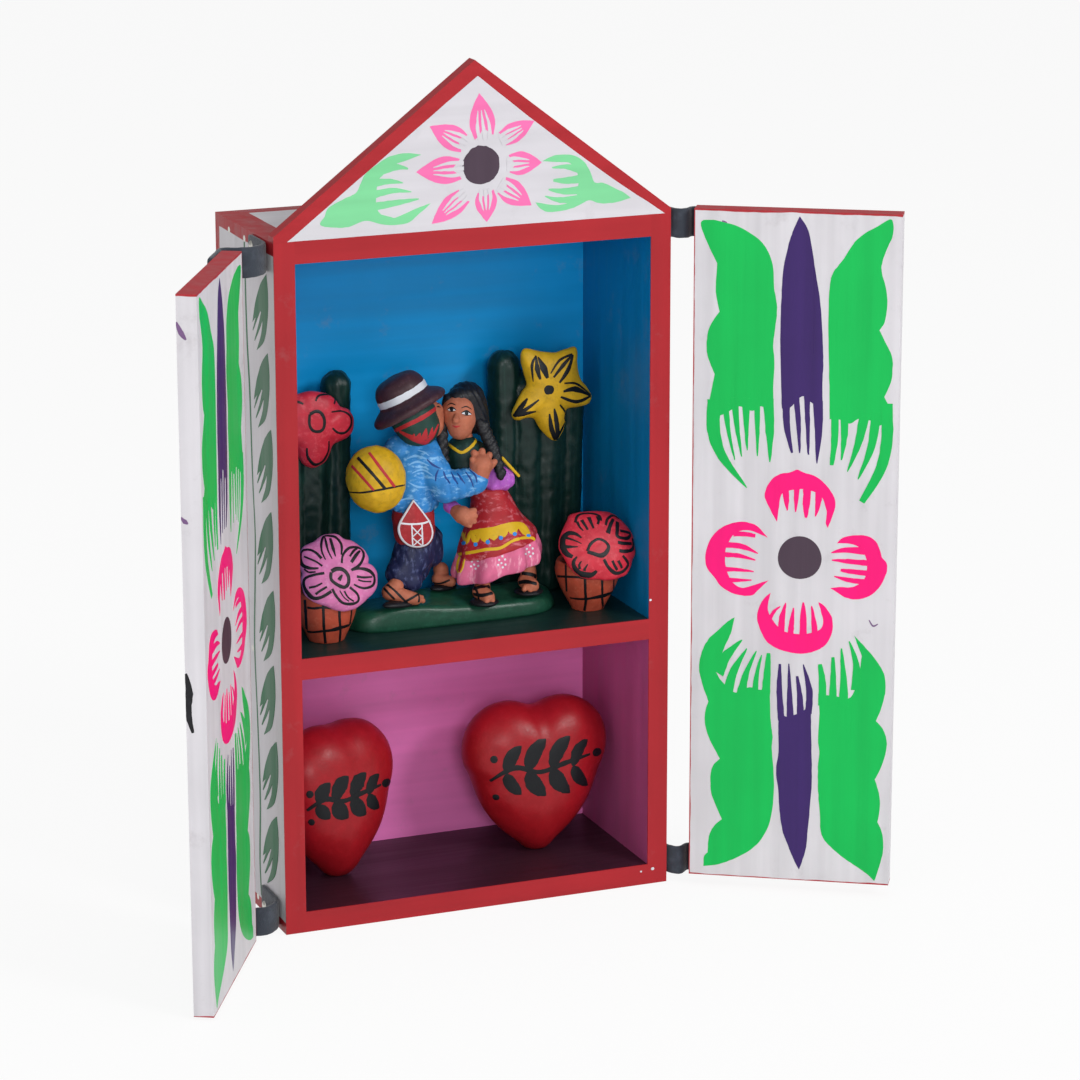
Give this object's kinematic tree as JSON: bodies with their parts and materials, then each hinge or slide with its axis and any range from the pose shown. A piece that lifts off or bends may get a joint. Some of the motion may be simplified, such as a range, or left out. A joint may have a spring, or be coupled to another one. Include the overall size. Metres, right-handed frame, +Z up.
{
  "type": "retablo box",
  "caption": "Gabled wooden shrine box with two strap-hinged painted doors, a shelf, a clay couple among cacti and flower baskets above it, and clay hearts below.",
  "frame": {"origin": "middle of the underside of the case", "axes": "+Z up, -Y out of the open front, +X to the right seen from the front"},
  "size_m": [0.2521, 0.1221, 0.284],
  "materials": {
    "painted_wood": "brush-painted boards, satin",
    "white_painted_wood": "brush-painted white with flowers, satin",
    "panel": "thin panel, painted inside",
    "leather": "dark dyed leather",
    "steel": "bright wire",
    "green_clay": "hand-modelled, painted dark green",
    "figure_clay": "hand-modelled and painted",
    "hat_clay": "hand-modelled, painted brown",
    "yellow_clay": "hand-modelled, painted yellow",
    "red_clay": "hand-modelled, painted red",
    "pink_clay": "hand-modelled, painted pink",
    "terracotta": "hand-modelled, painted brown red"
  },
  "bodies": {
    "case": {"side_left": "painted_wood", "side_right": "painted_wood", "top_board": "painted_wood", "bottom_board": "painted_wood", "shelf": "painted_wood", "back_panel": "panel", "gable": "white_painted_wood", "frame_nails": "steel", "panel_nails": "steel", "gable_nails": "steel", "strap_left_top": "leather", "strap_left_bottom": "leather", "strap_right_top": "leather", "strap_right_bottom": "leather", "side_tacks": "steel", "ground": "green_clay", "man": "figure_clay", "hat": "hat_clay", "bundle": "yellow_clay", "pouch": "red_clay", "woman": "figure_clay", "cactus_left": "green_clay", "cactus_right": "green_clay", "star_flower": "yellow_clay", "red_flower_left": "red_clay", "basket_left": "terracotta", "pink_flower": "pink_clay", "basket_right": "terracotta", "red_flower_right": "red_clay", "heart_left": "red_clay", "heart_right": "red_clay"},
    "left_door": {"door_left": "white_painted_wood", "door_tacks_left": "steel"},
    "right_door": {"door_right": "white_painted_wood", "door_tacks_right": "steel"}
  },
  "joints": [
    {"name": "left_door_hinge", "type": "hinge", "parent": "case", "child": "left_door", "pos_m": [-0.0744, -0.0284, 0.115], "axis": [0, 0, -1], "range_deg": [-119.3, 60.7], "deforming": ["strap_left_top", "strap_left_bottom"]},
    {"name": "right_door_hinge", "type": "hinge", "parent": "case", "child": "right_door", "pos_m": [0.0715, -0.0324, 0.115], "axis": [0, 0, 1], "range_deg": [-147.7, 32.3], "deforming": ["strap_right_top", "strap_right_bottom"]}
  ]
}
